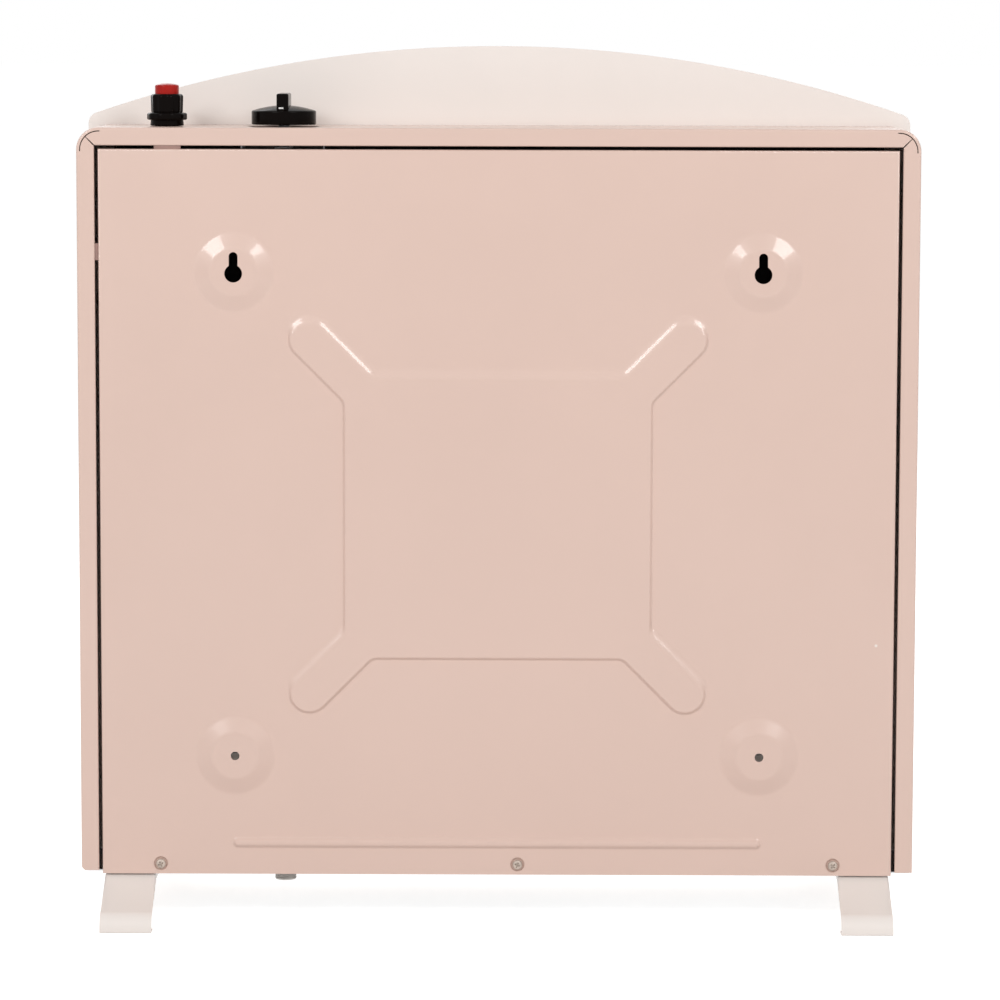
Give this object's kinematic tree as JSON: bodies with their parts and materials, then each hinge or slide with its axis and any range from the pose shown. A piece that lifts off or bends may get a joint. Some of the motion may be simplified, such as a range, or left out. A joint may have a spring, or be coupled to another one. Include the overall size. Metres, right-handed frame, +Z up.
{
  "type": "gas heater",
  "caption": "Vent-free radiant gas heater on two feet, with an arched front panel, wire guard, deck knob, push igniter and keyholed wall bosses at the back.",
  "frame": {"origin": "floor level, below the middle of the heater's box", "axes": "+Z up, +X to the right of someone facing the front, +Y out of the back, towards the wall"},
  "size_m": [0.647, 0.28, 0.679],
  "materials": {
    "case_paint": "semi-gloss beige enamel",
    "front_paint": "semi-gloss off-white enamel",
    "zinc_plate": "zinc-plated steel",
    "guard_chrome": "chromed wire",
    "bright_steel": "bright rolled steel",
    "dark_steel": "dark steel",
    "burner_iron": "heat-dulled black pressed steel",
    "tile_ceramic": "porous matt ceramic",
    "white_ceramic": "glazed ceramic",
    "brass": "turned brass",
    "copper": "drawn copper tube",
    "cast_alloy": "die-cast alloy",
    "black_plastic": "gloss black moulding",
    "red_plastic": "red moulding",
    "red_rubber": "silicone lead"
  },
  "bodies": {
    "heater": {"casing_shell": "case_paint", "back_panel": "case_paint", "panel_screw_1": "zinc_plate", "panel_screw_2": "zinc_plate", "panel_screw_3": "zinc_plate", "base_plate": "zinc_plate", "front_panel": "front_paint", "front_surround": "front_paint", "outlet_louvre": "front_paint", "intake_louvre": "front_paint", "wire_guard": "guard_chrome", "reflector": "bright_steel", "burner_plate": "bright_steel", "tile_1": "tile_ceramic", "tile_2": "tile_ceramic", "tile_3": "tile_ceramic", "tile_4": "tile_ceramic", "tile_5": "tile_ceramic", "burner_1": "burner_iron", "burner_2": "burner_iron", "burner_3": "burner_iron", "burner_4": "burner_iron", "burner_5": "burner_iron", "gas_manifold": "dark_steel", "injector_1": "brass", "injector_2": "brass", "injector_3": "brass", "injector_4": "brass", "injector_5": "brass", "manifold_bracket_left": "zinc_plate", "manifold_bracket_right": "zinc_plate", "gas_valve": "cast_alloy", "valve_bracket": "zinc_plate", "valve_nut": "brass", "valve_spring": "zinc_plate", "igniter_body": "black_plastic", "igniter_collar": "black_plastic", "igniter_spring": "zinc_plate", "gas_inlet": "cast_alloy", "gas_regulator": "cast_alloy", "supply_pipe": "dark_steel", "burner_tube": "copper", "pilot_tube": "copper", "thermocouple_lead": "copper", "thermocouple": "copper", "ignition_lead": "red_rubber", "pilot_bracket": "zinc_plate", "pilot_burner": "brass", "spark_electrode": "white_ceramic", "heat_shield": "zinc_plate", "foot_right": "front_paint", "foot_left": "front_paint", "foot_screw_right_rear": "zinc_plate", "foot_screw_right_front": "zinc_plate", "foot_screw_left_rear": "zinc_plate", "foot_screw_left_front": "zinc_plate"},
    "valve_push": {"valve_plunger": "brass"},
    "knob": {"gas_knob": "black_plastic", "valve_stem": "dark_steel"},
    "button": {"igniter_button": "red_plastic"}
  },
  "joints": [
    {"name": "knob_press", "type": "slide", "parent": "heater", "child": "valve_push", "axis": [0, 0, -1], "range_m": [0, 0.004], "stiffness_N_per_m": 1000, "springref_m": -0.006, "deforming": ["valve_spring"]},
    {"name": "knob_turn", "type": "hinge", "parent": "valve_push", "child": "knob", "pos_m": [0.1668, 0.044, 0.6184], "axis": [0, 0, 1], "range_deg": [0, 240]},
    {"name": "igniter_press", "type": "slide", "parent": "heater", "child": "button", "axis": [0, 0, -1], "range_m": [0, 0.007], "stiffness_N_per_m": 600, "springref_m": -0.008, "deforming": ["igniter_spring"]}
  ]
}
